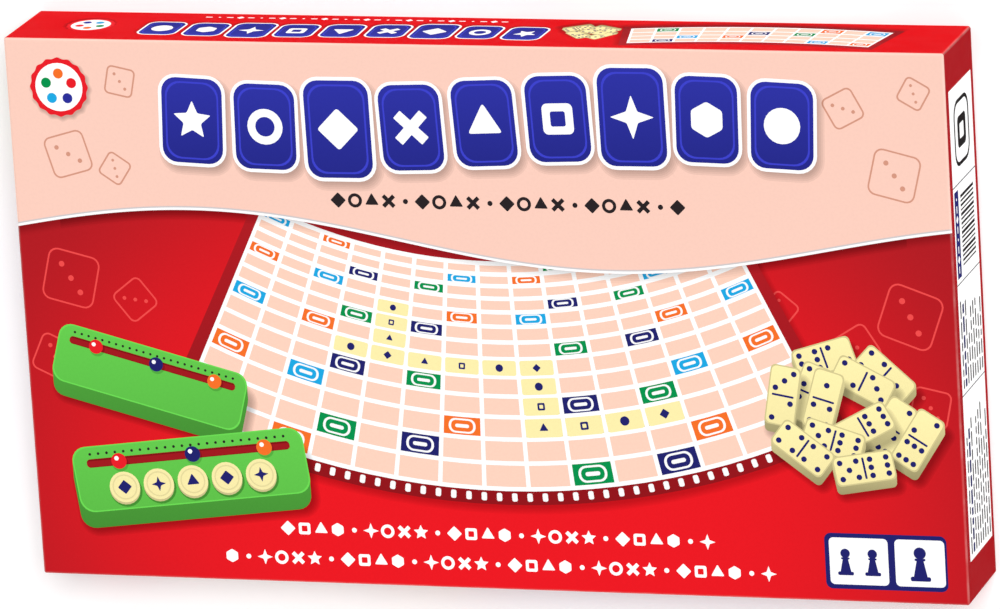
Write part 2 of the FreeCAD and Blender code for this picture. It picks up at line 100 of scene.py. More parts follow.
class Tree:
    """A node tree, and short ways to add to it. Inputs are values, #rrggbb codes or other nodes' outputs."""

    def __init__(self, owner):
        owner.use_nodes = True
        self.tree = owner.node_tree

    def put(self, socket, value):
        if isinstance(value, bpy.types.NodeSocket):
            self.tree.links.new(value, socket)
        elif isinstance(value, str):
            socket.default_value = linear(value)[:len(socket.default_value)]
        elif value is not None:
            socket.default_value = value

    def node(self, kind, *inputs, output=0, **settings):
        """Adds a node with its inputs in order, and returns one of its outputs."""
        made = self.tree.nodes.new("ShaderNode" + kind)
        for name, value in settings.items():
            setattr(made, name, value)
        for socket, value in zip(made.inputs, inputs):
            self.put(socket, value)
        return made.outputs[output]

    def math(self, operation, *inputs):
        return self.node("Math", *inputs, operation=operation)

    def minus(self, a, b):
        return self.math("SUBTRACT", a, b)

    def times(self, a, b):
        return self.math("MULTIPLY", a, b)

    def ramp(self, value, low, high, out_low=0.0, out_high=1.0):
        """Turns low..high smoothly into out_low..out_high."""
        return self.node("MapRange", value, low, high, out_low, out_high, interpolation_type="SMOOTHSTEP")

    def mix(self, factor, a, b):
        """A colour between a and b."""
        made = self.node("Mix", factor, data_type="RGBA", output=2)
        self.put(made.node.inputs[6], a)
        self.put(made.node.inputs[7], b)
        return made

    def scaled(self, colour, factor):
        made = self.node("VectorMath", colour, operation="SCALE")
        self.put(made.node.inputs["Scale"], factor)
        return made


class Finish(Tree):
    """A node material. Its textures are laid out by the object's own coordinates, in millimetres."""

    def __init__(self, name, **values):
        self.material = bpy.data.materials.new(name)
        super().__init__(self.material)
        self.shader = self.tree.nodes["Principled BSDF"]
        self.set(**values)
        coordinates = self.node("TexCoord", output=3)
        self.place = self.node("VectorMath", coordinates, (1 / MM,) * 3, operation="MULTIPLY")
        self.x, self.y, self.z = (self.node("SeparateXYZ", self.place, output=axis) for axis in range(3))

    def set(self, **values):
        """Sets the shader's inputs, such as Base_Color."""
        for name, value in values.items():
            self.put(self.shader.inputs[name.replace("_", " ")], value)

    def noise(self, size, detail=2.0, stretch=(1.0, 1.0, 1.0)):
        """Noise whose features are about size across, longer along an axis with stretch above 1."""
        where = self.node("VectorMath", self.place, tuple(1 / s for s in stretch), operation="MULTIPLY")
        return self.node("TexNoise", where, None, 1 / size, detail)

    def tone(self):
        """The brightness stored in the mesh's corners."""
        return self.node("Attribute", output=2, attribute_name="tone")

    def relief(self, height, depth):
        """Bump of the given depth, on top of any bump put there before."""
        made = self.node("Bump").node
        made.inputs["Distance"].default_value = depth * MM
        self.put(made.inputs["Height"], height)
        before = self.shader.inputs["Normal"].links
        if before:
            self.put(made.inputs["Normal"], before[0].from_socket)
        self.set(Normal=made.outputs[0])


# ---- flat outlines ----
def polar(radius, degrees, centre=(0, 0)):
    """The point at a distance and an angle from a centre."""
    angle = math.radians(degrees)
    return centre[0] + radius * math.cos(angle), centre[1] + radius * math.sin(angle)


def spaced(count, pitch):
    """Places at a pitch along a line, with zero in their middle."""
    return [(number - (count - 1) / 2) * pitch for number in range(count)]


def arc_points(centre, radius, start, end, steps):
    return [polar(radius, start + (end - start) * step / steps, centre) for step in range(steps + 1)]


def rounded(width, height, radius, steps=5):
    """A rectangle about the origin with round corners."""
    x, y = width / 2 - radius, height / 2 - radius
    outline = []
    for number, centre in enumerate(((x, y), (-x, y), (-x, -y), (x, -y))):
        outline += arc_points(centre, radius, 90 * number, 90 * number + 90, steps)
    return outline


def rectangle(width, height):
    x, y = width / 2, height / 2
    return [(-x, -y), (x, -y), (x, y), (-x, y)]


def circle(radius, count=24):
    return arc_points((0, 0), radius, 0, 360 - 360 / count, count - 1)


def spokes(count, *radii, turn=90):
    """A regular polygon, or a star where two radii take turns."""
    step = 360 / (count * len(radii))
    return [polar(radius, turn + number * step) for number, radius in enumerate(radii * count)]


def softened(outline, radius, steps=3):
    """The outline with each corner rounded by a short curve."""
    made = []
    for before, corner, after in zip(outline[-1:] + outline[:-1], outline, outline[1:] + outline[:1]):
        corner = Vector(corner)
        ends = []
        for other in (before, after):
            side = Vector(other) - corner
            ends.append(corner + side * min(radius / side.length, 0.45))
        for step in range(steps + 1):
            t = step / steps
            point = ends[0] * (1 - t) ** 2 + corner * 2 * t * (1 - t) + ends[1] * t ** 2
            made.append(tuple(point))
    return made


def placed(outline, centre, degrees=0.0):
    """The outline turned and moved."""
    c, s = math.cos(math.radians(degrees)), math.sin(math.radians(degrees))
    return [(centre[0] + x * c - y * s, centre[1] + x * s + y * c) for x, y in outline]


def hull(outline):
    """The smallest convex outline round some points."""
    vectors = [Vector(point) for point in outline]
    return [outline[number] for number in geometry.convex_hull_2d(vectors)]


def counter_clockwise(outline):
    area = sum(a[0] * b[1] - b[0] * a[1] for a, b in zip(outline, outline[1:] + outline[:1]))
    return outline if area > 0 else outline[::-1]


# ---- meshes ----
def add_to_scene(name, data):
    made = bpy.data.objects.new(name, data)
    bpy.context.scene.collection.objects.link(made)
    return made


class Skin:
    """Faces collected by the places of their corners, which are welded where they meet."""

    def __init__(self):
        self.numbers, self.points = {}, []
        self.faces, self.inks, self.smooth, self.tones = [], [], [], []
        self.shade = 1.0

    def corner(self, point):
        key = tuple(round(value, 3) for value in point)
        if key not in self.numbers:
            self.numbers[key] = len(self.points)
            self.points.append([value * MM for value in point])
        return self.numbers[key]

    def face(self, points, ink, tones=None, smooth=False):
        corners, kept = [], []
        for point, tone in zip(points, tones or [self.shade] * len(points)):
            number = self.corner(point)
            if number not in corners:
                corners.append(number)
                kept.append(tone)
        if len(corners) > 2:
            self.faces.append(corners)
            self.inks.append(ink)
            self.smooth.append(smooth)
            self.tones += kept

    def strip(self, ring, following, ink, smooth=True, skip=()):
        """Quads between two closed rings of points. Stations in skip are left open."""
        count = len(ring)
        for a in range(count):
            if a not in skip:
                b = (a + 1) % count
                self.face([ring[a], ring[b], following[b], following[a]], ink, smooth=smooth)

    def loft(self, rings, ink):
        """Strips from each ring to the next."""
        for ring, following in zip(rings, rings[1:]):
            self.strip(ring, following, ink)

    def stamp(self, glyph, ink, place):
        """Adds a glyph's solid. place(x, y, z) gives a point of the part."""
        corners, faces = glyph
        for face in faces:
            self.face([place(*corners[number]) for number in face], ink)

    def piece(self, name, finishes, body, slot, *nodes):
        """Makes the object, riding on a body. finishes maps each ink to its material."""
        mesh = bpy.data.meshes.new(name)
        mesh.from_pydata(self.points, [], self.faces)
        used = sorted(set(self.inks))
        for ink in used:
            mesh.materials.append(finishes[ink])
        mesh.polygons.foreach_set("material_index", [used.index(ink) for ink in self.inks])
        mesh.polygons.foreach_set("use_smooth", self.smooth)
        mesh.attributes.new("tone", "FLOAT", "CORNER").data.foreach_set("value", self.tones)
        made = add_to_scene(name, mesh)
        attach(made, body)
        if nodes:
            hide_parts(*nodes)
        return made


class Print:
    """Flat artwork drawn as overlapping outlines, later ones on top."""

    def __init__(self, outline, ink):
        self.shapes = []
        self.add(outline, ink)

    def add(self, outline, ink=None, tone=1.0, hides=None):
        """Adds a shape. Without an ink it only shades what is under it.
        tone is a factor on the ink's brightness, or a function of (x, y) that gives it.
        hides is the number of an earlier shape that this one cuts a hole in."""
        self.shapes.append((counter_clockwise(outline), ink, tone, hides))
        return len(self.shapes) - 1

    def draw(self, outline, spot, ink=None, turn=0.0, tone=1.0, hole=None):
        """Adds an outline moved to a spot and turned, with a hole in it if one is given."""
        number = self.add(placed(outline, spot, turn), ink, tone)
        if hole:
            self.add(placed(hole, spot, turn), hides=number)

    def fill(self, skin, place):
        """Adds the artwork to a skin, as triangles that don't overlap. place(x, y) gives a point."""
        if len(self.shapes) == 1:
            outline, ink, *_ = self.shapes[0]
            skin.face([place(*corner) for corner in outline], ink)
            return
        points, loops = [], []
        for outline, *_ in self.shapes:
            loops.append(list(range(len(points), len(points) + len(outline))))
            points += [Vector(point) for point in outline]
        made = geometry.delaunay_2d_cdt(points, [], loops, 1, 1e-5, True)
        vertices, triangles, covers = made[0], made[2], made[5]
        for triangle, cover in zip(triangles, covers):
            hidden = {self.shapes[number][3] for number in cover}
            ink, tones = None, []
            for number in sorted(cover):
                _, own_ink, tone, hides = self.shapes[number]
                if number in hidden or hides is not None:
                    continue
                if own_ink:
                    ink, tones = own_ink, []
                tones.append(tone)
            if ink is None:
                continue
            corners = [tuple(vertices[index]) for index in triangle]
            shades = [
                math.prod(tone(*c) if callable(tone) else tone for tone in tones) for c in corners
            ]
            skin.face([place(*c) for c in corners], ink, shades)


def fade(low, high, bottom, top):
    """A tone that runs from low at height bottom to high at height top."""
    return lambda x, y: low + (high - low) * min(max((y - bottom) / (top - bottom), 0.0), 1.0)


# ---- printed inks ----
ink_codes = {
    "white": "#FFFFFF", "blue": "#2B2F96", "navy": "#23246B", "sky": "#1FA6DF",
    "green": "#0A8F4C", "orange": "#F2702A", "peach": "#FBCFBB", "cream": "#F8EBAA",
    "leaf": "#5FC04A", "charcoal": "#2A2426", "crimson": "#8E161C", "red": "#E5202A",
    "rose": "#EC4C4B", "apricot": "#D2957F", "grey": "#9A9A9C",
}
wave_middle, wave_height, wave_length, wave_crest = 34.0, 12.0, 380.0, -130.0


def wave(x):
    """Height on the lid at which the pale band ends."""
    return wave_middle + wave_height * math.cos(2 * math.pi * (x - wave_crest) / wave_length)


# a film that hardly reflects keeps the inks as deep as they are in the photograph
film = {"IOR": 1.03}


def add_film(finish, colour):
    """The print's colour, slightly uneven, under a satin film with faint cockle, peel and handling marks."""
    mottle = finish.ramp(finish.noise(1.3, 3.0), 0.3, 0.7, 0.985, 1.01)
    marks = finish.noise(11.0, 4.0, stretch=(2.0, 1.0, 1.0))
    finish.set(Base_Color=finish.scaled(colour, mottle), Roughness=finish.ramp(marks, 0.35, 0.75, 0.40, 0.50))
    finish.relief(finish.noise(30.0, 1.0), 0.06)
    finish.relief(finish.noise(0.8, 2.0), 0.003)


def ink_finish(name, code):
    """One printed colour with its drawn shading."""
    finish = Finish("ink_" + name, **film)
    add_film(finish, finish.scaled(code, finish.tone()))
    return finish.material


def field_finish():
    """The lid's ground: red, lighter below the middle, with a pale band above a wavy edge. Its ends are
    a deeper red than its long walls. Edges get a painted highlight, an even pale line all along,
    and here and there scuffs to the paper."""
    finish = Finish("ink_field", **film)
    ramp, mix, minus, times = finish.ramp, finish.mix, finish.minus, finish.times
    lightest_y, spread_x, spread_y = -80.0, 215.0, 165.0
    across = finish.math("DIVIDE", finish.x, spread_x)
    down = finish.math("DIVIDE", minus(finish.y, lightest_y), spread_y)
    spread = finish.math("ADD", times(across, across), times(down, down))
    red = mix(ramp(spread, 0.10, 1.45), "#E81A23", "#AD1D24")

    phase = times(minus(finish.x, wave_crest), 2 * math.pi / wave_length)
    edge = finish.math("ADD", times(finish.math("COSINE", phase), wave_height), wave_middle)
    above = minus(finish.y, edge)
    shaded = finish.scaled(red, ramp(above, -5.5, 0.0, 1.0, 0.62))
    white_line = mix(ramp(above, -0.15, 0.15), shaded, "#FFFFFF")
    grey_line = mix(ramp(above, 1.5, 2.0), "#C9C4C6", "#F7CBBB")
    ground = mix(ramp(above, 0.9, 1.3), white_line, grey_line)

    in_x = minus(lid_half[0], finish.math("ABSOLUTE", finish.x))
    in_y = minus(lid_half[1], finish.math("ABSOLUTE", finish.y))
    below_top = minus(lid_top, finish.z)
    wall = mix(finish.math("LESS_THAN", in_x, in_y), "#DC0A14", "#A50E17")
    ground = mix(ramp(below_top, 0.45, 0.75), ground, wall)

    nearer, farther = finish.math("MINIMUM", in_x, in_y), finish.math("MAXIMUM", in_x, in_y)
    from_edge = finish.math("MAXIMUM", nearer, finish.math("MINIMUM", farther, below_top))
    # rubbed is a painted highlight, an even pale line along every edge; scuffed is wear to the paper in
    # patches
    edge_highlight_strength = ramp(finish.noise(9.0, 4.0), 0.35, 0.68, 0.08, 0.18)
    scuffing = ramp(finish.noise(2.4, 4.0), 0.66, 0.74, 0.0, 0.45)
    rubbed = times(ramp(from_edge, 0.4, 1.2, 1.0, 0.0), edge_highlight_strength)
    scuffed = times(ramp(from_edge, 0.2, 0.6, 1.0, 0.0), scuffing)
    ground = mix(finish.math("MAXIMUM", rubbed, scuffed), ground, "#F7E3DC")
    add_film(finish, finish.scaled(ground, finish.tone()))
    return finish.material


inks = {name: ink_finish(name, code) for name, code in ink_codes.items()}
inks["field"] = field_finish()


# ---- motifs of the print ----
def figure(kind, size):
    """A plain geometric figure of about the given height, and the outline of its hole if it has one."""
    half = size / 2
    stars = {
        "diamond": (4, (1.10,), 0.15, 90), "hexagon": (6, (1.00,), 0.15, 90),
        "triangle": (3, (1.12,), 0.20, 90), "star": (5, (1.12, 0.52), 0.10, 90),
        "spark": (4, (1.15, 0.42), 0.08, 90), "cross": (4, (0.40, 1.10, 1.10), 0.05, 0),
    }
    if kind in stars:
        points, radii, bend, turn = stars[kind]
        return softened(spokes(points, *(radius * half for radius in radii), turn=turn), bend * half), None
    if kind == "frame":
        return rounded(size * 0.86, size * 0.86, half * 0.3), rounded(size * 0.42, size * 0.42, half * 0.12)
    if kind == "bar":
        return rounded(size * 0.95, size * 0.34, half * 0.3), None
    return circle(half), circle(half * 0.55) if kind == "ring" else None


def draw_figure(art, kind, spot, size, ink, turn=0.0, tone=1.0):
    outer, hole = figure(kind, size)
    art.draw(outer, spot, ink, turn, tone, hole)


def figure_row(art, centre, count, pitch, size, ink, kinds):
    """A line of small figures, spaced out by dots."""
    for number, along in enumerate(spaced(count, pitch)):
        kind = kinds[number % len(kinds)]
        share = 0.36 if kind == "disc" else 1.0
        draw_figure(art, kind, (centre[0] + along, centre[1]), size * share, ink)


shadow_steps = 6


def soft_shadow(art, outline_of, spot, turn, spread, depth):
    """Shades what is under a shape. outline_of(grow) gives the shape's outline, grown all round."""
    for step in range(shadow_steps):
        grow = spread * (0.75 - (step + 0.5) / shadow_steps)
        art.draw(outline_of(grow), spot, turn=turn, tone=(1 - depth) ** (1 / shadow_steps))


def box_outline(width, height, radius, steps=6):
    """A function of grow that gives a rounded rectangle, grown all round."""
    return lambda grow: rounded(width + 2 * grow, height + 2 * grow, radius + max(grow, 0.0), steps)


def plate_row(art, centre, count, pitch, size, lift, kinds):
    """Blue plates with white rims on a gentle wave, each with a white figure."""
    for number, step in enumerate(spaced(count, 1)):
        slope = 2 * math.pi * step / count
        spot = (centre[0] + step * pitch, centre[1] + lift * math.sin(slope))
        turn = 22.0 * lift / pitch * math.cos(slope)
        tall = 1.14 if number % 4 == 2 else 1.0
        width, height = size[0] * tall ** 0.5, size[1] * tall
        rim = width * 0.055
        outline = box_outline(width, height, size[0] * 0.24)
        soft_shadow(art, outline, (spot[0] + rim, spot[1] - 1.5 * rim), turn, 3.2 * rim, 0.5)
        art.draw(outline(rim), spot, "white", turn, 0.99)
        shade = fade(0.78, 1.18, spot[1] - height / 2, spot[1] + height / 2)
        art.draw(outline(0.0), spot, "blue", turn, shade)
        art.draw(outline(-1.1 * rim), spot, "blue", turn, 1.9, outline(-1.6 * rim))
        draw_figure(art, kinds[number % len(kinds)], spot, width * 0.58, "white", turn)


def fan(art, centre, radius, rings, half_angle, columns, ring_height, laid=(), marks=0):
    """A curved sheet of cells between white lines, in a dark red border. Rings get lower inwards.
    laid gives the (ring, column) of cells that hold a counter, marks how many the border has."""
    heights = [ring_height * 0.93 ** ring for ring in range(rings)]
    inner_radius = radius - sum(heights)
    line, border = ring_height * 0.085, ring_height * 0.62
    accents, counters = ("sky", "green", "orange", "navy"), ("disc", "diamond", "triangle", "frame")

    def sector(low, high, start, end, steps):
        """Outline between two radii and two angles from straight down."""
        start, end = start - 90, end - 90
        return arc_points(centre, high, start, end, steps) + arc_points(centre, low, end, start, steps)

    def sheet(grow):
        end = half_angle + math.degrees(grow / radius)
        return sector(inner_radius - grow, radius + grow, -end, end, 24)

    soft_shadow(art, lambda grow: sheet(border + grow), (1.2, -1.8), 0.0, 3.5, 0.35)
    art.add(sheet(border), "crimson", fade(1.0, 1.5, centre[1] - radius, centre[1] - inner_radius))
    art.add(sheet(line), "white")
    half_pitch = half_angle / columns
    outside = radius
    for ring, height in enumerate(heights):
        reach = outside - height / 2
        wide = 2 * reach * math.sin(math.radians(half_pitch))
        lean = half_pitch - math.degrees(line / outside)
        for column, turn in enumerate(spaced(columns, 2 * half_pitch)):
            cell = sector(outside - height + line, outside - line, turn - lean, turn + lean, 2)
            middle = polar(reach, turn - 90, centre)
            if (ring, column) in laid:
                art.add(cell, "cream", 0.72)
                art.draw(rounded(wide * 0.90, height * 0.84, height * 0.12, 3), middle, "cream", turn)
                draw_figure(art, counters[(ring + column) % 4], middle, height * 0.42, "navy", turn)
            elif (2 * column + 3 * ring) % 9 in (0, 4):
                art.add(cell, accents[(column + 2 * ring) % 4])
                outside_ring = rounded(wide * 0.66, height * 0.66, height * 0.30)
                inside_ring = rounded(wide * 0.54, height * 0.50, height * 0.22)
                art.draw(outside_ring, middle, "white", turn, 0.95, inside_ring)
                art.draw(rounded(wide * 0.34, height * 0.16, height * 0.07, 2), middle, "white", turn, 0.95)
            else:
                art.add(cell, "peach")
        outside -= height
    mark = rounded(border * 0.34, border * 0.52, border * 0.1, 2)
    for turn in spaced(marks, 2 * half_angle / max(marks, 1)):
        art.draw(mark, polar(radius + border * 0.52, turn - 90, centre), "white", turn, 0.93)


def slab(art, outline, spot, turn, thick, ink, shades):
    """A thick slab seen from above at a slant. shades are the tones of its side's foot and top,
    of its edge, and of its face's foot and top."""
    top = placed(outline(0.0), spot, turn)
    foot = placed(top, (0.0, -thick))
    soft_shadow(art, outline, (spot[0] + 1.8, spot[1] - thick - 1.4), turn, 3.8, 0.5)
    low, high = min(y for _, y in foot), max(y for _, y in top)
    art.add(hull(top + foot), ink, fade(shades[0], shades[1], low, high))
    art.add(top, ink, shades[2])
    art.draw(outline(-0.6), spot, ink, turn, fade(shades[3], shades[4], low, high))


def domino(art, spot, size, turn, counts):
    """A cream domino: a groove across and two squares of navy pips."""
    outline = box_outline(2 * size, size, size * 0.16, 4)
    slab(art, outline, spot, turn, size * 0.26, "cream", (0.36, 0.80, 0.68, 0.93, 1.05))
    art.draw(rounded(size * 0.07, size * 0.72, size * 0.03, 2), spot, "navy", turn)
    corners, sides = [(-1, 1), (1, -1), (1, 1), (-1, -1)], [(-1, 0), (1, 0)]
    for half, count in zip((-0.5, 0.5), counts):
        pips = corners[:count // 2 * 2] if count < 6 else corners + sides
        for across, along in pips + [(0, 0)] * (count % 2):
            pip = placed(circle(size * 0.095, 12), ((half + across * 0.27) * size, along * 0.27 * size))
            art.draw(pip, spot, "navy", turn)


def domino_spiral(art, centre, reach, count, size):
    """Dominoes laid end to end along a spiral, drawn from the back to the front."""
    squash = 0.86
    laid = []
    angle = 0.0
    for number in range(count):
        radius = reach * (0.30 + 0.70 * number / (count - 1))
        angle += 2.25 * size / radius
        across, along = math.cos(angle), squash * math.sin(angle)
        slope = math.degrees(math.atan2(squash * across, -math.sin(angle)))
        spot = (centre[0] + radius * across, centre[1] + radius * along)
        laid.append((spot, slope, (number % 6 + 1, (number * 2 + 3) % 6 + 1)))
    for spot, slope, counts in sorted(laid, key=lambda item: -item[0][1]):
        domino(art, spot, size, slope, counts)


def peg_board(art, centre, length, width, turn, discs):
    """A green scoring board: a row of holes, a slot with pegs, and cream counters."""
    def spot(along, across):
        return placed([(along * length, across * width)], centre, turn)[0]

    outline = box_outline(length, width, width * 0.22)
    slab(art, outline, centre, turn, width * 0.24, "leaf", (0.50, 0.74, 1.30, 0.90, 1.12))
    for thick, tone, across in ((0.13, 0.8, 0.24), (0.09, 1.25, 0.23)):
        slot = rounded(length * 0.88, width * thick, width * thick * 0.45)
        art.draw(slot, spot(0.0, across), "crimson", turn, tone)
    for along in spaced(24, 0.0365):
        art.draw(circle(width * 0.022, 8), spot(along, 0.38), "charcoal")
    for along, ink in ((-0.30, "red"), (0.02, "navy"), (0.33, "orange")):
        x, y = spot(along, 0.24)
        art.draw(circle(width * 0.13), (x + 0.5, y - 0.9), tone=0.72)
        art.draw(circle(width * 0.12), (x, y), ink)
        art.draw(circle(width * 0.035, 10), (x - width * 0.035, y + width * 0.04), "white")
    radius = width * 0.235
    for number, along in enumerate(spaced(discs, 0.148)):
        x, y = spot(along, -0.16)
        art.draw(circle(radius + 0.5), (x + 0.5, y - 1.5), "leaf", tone=0.5)
        art.draw(circle(radius), (x, y - 1.0), "cream", tone=0.62)
        art.draw(circle(radius), (x, y), "cream", tone=0.97)
        art.draw(circle(radius * 0.82), (x, y), "cream", tone=0.80, hole=circle(radius * 0.73))
        draw_figure(art, ("diamond", "spark", "triangle")[number % 3], (x, y), radius * 0.85, "navy", turn)


def tile_outlines(art, tiles, ink):
    """Empty tiles drawn in line only, with three dots, from their (x, y, size, turn)."""
    for x, y, size, turn in tiles:
        inside = rounded(size - 1.5, size - 1.5, size * 0.18 - 0.7)
        art.draw(rounded(size, size, size * 0.18), (x, y), ink, turn, hole=inside)
        for step in (-1, 0, 1):
            dot = placed(circle(size * 0.055, 12), (step * size * 0.22, -step * size * 0.22))
            art.draw(dot, (x, y), ink, turn)


def pawn(art, spot, height, ink):
    """A playing piece: flared body, foot, collar and round head."""
    for outline, rise in (
        ([(-0.20, -0.40), (0.20, -0.40), (0.09, 0.12), (-0.09, 0.12)], 0.0),
        (rounded(0.56, 0.13, 0.05), -0.42), (rounded(0.30, 0.07, 0.03), 0.12), (circle(0.17, 20), 0.30),
    ):
        sized = [(x * height, (y + rise) * height) for x, y in outline]
        art.draw(sized, spot, ink)


def badge(art, spot, radius):
    """A white rosette with a red ring and five coloured dots."""
    def outline(grow):
        return softened(spokes(16, radius + grow, (radius + grow) * 0.93), 0.8, 2)

    soft_shadow(art, outline, (spot[0] + 0.7, spot[1] - 1.0), 0.0, 2.0, 0.4)
    art.draw(outline(0.0), spot, "red")
    art.draw(circle(radius * 0.80, 32), spot, "white")
    for number, ink in enumerate(("orange", "green", "sky", "blue", "red")):
        art.draw(placed(circle(radius * 0.17, 16), (0.0, radius * 0.45)), spot, ink, 72 * number)


# ---- the lid's printed wrap ----
side_normals = ((0, -1), (1, 0), (0, 1), (-1, 0))
side_shares = ([n / 6 - 1 for n in range(13)], [n / 4 - 1 for n in range(9)])
corner_angles = (0, 6, 18, 30, 45, 60, 72, 84, 90)


def side_frame(side, half=lid_half):
    """Outward normal and run of a side, and how far a box of the given half size reaches along each."""
    nx, ny = side_normals[side]
    reach, half_run = half if nx else half[::-1]
    return Vector((nx, ny)), Vector((-ny, nx)), reach, half_run


def box_ring(inset, height, half=lid_half):
    """Points round a box at a height, inset from its outer face. The outside corners are round."""
    core, radius = max(edge_radius, inset), max(edge_radius - inset, 0.0)
    ring = []
    for side in range(4):
        normal, run, reach, half_run = side_frame(side, half)
        for share in side_shares[side % 2]:
            ring.append(normal * (reach - inset) + run * share * (half_run - core))
        centre = normal * (reach - core) + run * (half_run - core)
        for out, along in (polar(radius, degrees) for degrees in corner_angles[1:-1]):
            ring.append(centre + normal * out + run * along)
    return [(point.x, point.y, height) for point in ring]


def flat_stations():
    """Numbers of the ring's stations that start a flat stretch of wall."""
    stations, start = set(), 0
    for side in range(4):
        count = len(side_shares[side % 2])
        stations.update(range(start, start + count - 1))
        start += count + len(corner_angles) - 2
    return stations


plate_kinds = ("star", "ring", "diamond", "cross", "triangle", "frame", "spark", "hexagon", "disc")
line_kinds = ("diamond", "ring", "triangle", "cross", "disc")
mark_kinds = ("bar", "diamond", "bar", "disc")


def lid_top_art():
    """Pale band above a wavy edge with a row of blue plates, fan of cells, dominoes, boards and marks."""
    # at this inset the ring's round corners have shrunk to a point each, which is kept once
    rim = list(dict.fromkeys((x, y) for x, y, _ in box_ring(edge_radius, lid_top)))
    art = Print(rim, "field")

    tile_outlines(art, (
        (190, 6, 25, -20), (166, -8, 17, 32), (197, -34, 17, -12), (-187, 14, 24, -14),
        (-158, 5, 16, 38), (-197, -22, 18, -25), (133, 8, 13, -40),
    ), "rose")
    laid = [(5, column) for column in range(3, 9)] + [(ring, 8) for ring in (2, 3, 4)]
    laid += [(2, column) for column in (9, 10, 11)] + [(ring, 4) for ring in (6, 7, 8)]
    fan(art, (6.0, 262.0), 338.0, 13, 25.5, 15, 11.6, laid, 44)

    shelf = [(4.75 * step, wave(4.75 * step)) for step in range(-40, 41)]
    for drop in (4.2, 3.2, 2.3, 1.4, 0.6):
        art.add([(px, py - drop) for px, py in shelf] + [(190, 60), (-190, 60)], tone=0.92)
    art.add(shelf + [(190, 64), (-190, 64)], "field")
    tile_outlines(art, (
        (186, 68, 21, -14), (165, 97, 15, 28), (196, 104, 12, -30), (-184, 70, 19, 16),
        (-163, 64, 12, -34), (-158, 103, 13, -12),
    ), "apricot")
    plate_row(art, (6.0, 87.5), 9, 33.0, (27.5, 38.0), 4.0, plate_kinds)
    figure_row(art, (14.0, 52.0), 21, 7.6, 6.4, "charcoal", line_kinds)
    badge(art, (-186.0, 100.0), 13.5)

    domino_spiral(art, (160.0, -34.0), 35.0, 12, 13.5)
    peg_board(art, (-154.0, -30.0), 88.0, 27.0, -15.0, 0)
    peg_board(art, (-138.0, -72.0), 108.0, 30.0, 7.0, 5)

    kinds = ("diamond", "frame", "triangle", "hexagon", "disc", "spark", "ring", "cross", "star", "disc")
    figure_row(art, (0.0, -97.0), 26, 7.6, 6.2, "white", kinds)
    figure_row(art, (0.0, -110.5), 33, 7.6, 6.2, "white", kinds[3:] + kinds[:3])
    art.draw(rounded(54, 25, 3.0), (174.0, -103.5), "navy")
    art.draw(rounded(22, 21, 2.0), (189.0, -103.5), "white")
    art.draw(rounded(26, 21, 2.0), (162.0, -103.5), "white")
    for x, height in ((189.0, 16.0), (168.0, 12.5), (156.0, 12.5)):
        pawn(art, (x, -103.8), height, "navy")
    return art


def draw_long_wall(art, low, high):
    """Side of the lid along its length: a row of blue plates, a short fan and small marks."""
    middle = (low + high) / 2
    fan(art, (-122.0, middle + 286.0), 300.0, 4, 11.0, 11, 6.6)
    plate_row(art, (62.0, middle + 3.0), 9, 20.5, (16.5, 20.5), 1.6, plate_kinds)
    figure_row(art, (62.0, low + 6.0), 29, 4.8, 3.2, "white", mark_kinds)
    badge(art, (178.0, middle), 11.0)
    domino_spiral(art, (-48.0, middle), 11.5, 5, 6.5)


def draw_label_wall(art, low, high):
    """End of the lid with a white label in panels: a frame, bars under a navy strip, and lines of marks."""
    side_margin, edge_margin = 18.0, 3.6
    middle, half_run = (low + high) / 2, lid_half[1] - side_margin
    tall = high - low - 2 * edge_margin
    top = middle + tall / 2
    art.draw(rounded(2 * half_run, tall, 0.4), (0, middle), "white")
    panels = [share * half_run for share in (-1.0, -0.29, 0.18, 0.59, 1.0)]
    for edge in panels[1:-1]:
        art.draw(rounded(0.5, tall, 0.1, 1), (edge, middle), "charcoal", tone=0.6)

    frame_spot = (0.795 * half_run, middle)
    frame_hole = rounded(25.5, 21.5, 5.4)
    art.draw(rounded(29.0, 25.0, 7.0), frame_spot, "charcoal", tone=0.5, hole=frame_hole)
    draw_figure(art, "frame", frame_spot, 16.0, "charcoal", tone=0.5)

    strip_x = 0.385 * half_run
    art.draw(rounded(38.0, 6.5, 0.3), (strip_x, top - 5.0), "navy")
    figure_row(art, (strip_x, top - 5.0), 8, 4.4, 3.4, "white", mark_kinds)
    for bar, along in enumerate(spaced(16, 2.0)):
        wide = (0.7, 1.1, 0.9, 1.4)[bar * 5 % 4]
        art.draw(rounded(wide, 22.0, 0.1, 1), (strip_x + along, middle - 3.5), "charcoal", tone=0.6)

    chance = random.Random(23)
    for start, end in zip(panels[:2], panels[1:3]):
        for line in range(9):
            thick, ink = (2.7, "navy") if line == 1 else (1.7, "charcoal")
            limit = end - 11.0 - (end - start) * (0.3 if line % 4 == 3 else chance.uniform(0.0, 0.12))
            word_end = start + 2.5
            while word_end < limit:
                word = chance.uniform(3.0, 8.0)
                spot = (word_end + word / 2, top - 3.6 - line * 4.0)
                art.draw(rounded(word, thick, 0.4, 1), spot, ink, tone=0.7)
                word_end += word + 1.3


def draw_end_wall(art, low, high):
    """Other end of the lid: small plates, a line of marks and a peg board."""
    middle = (low + high) / 2
    plate_row(art, (26.0, middle + 3.0), 7, 19.0, (15.0, 18.5), 1.4, plate_kinds[2:])
    figure_row(art, (26.0, low + 6.0), 23, 4.8, 3.2, "white", mark_kinds)
    peg_board(art, (-80.0, middle + 1.0), 54.0, 17.0, 4.0, 4)
    badge(art, (105.0, middle + 2.0), 9.5)


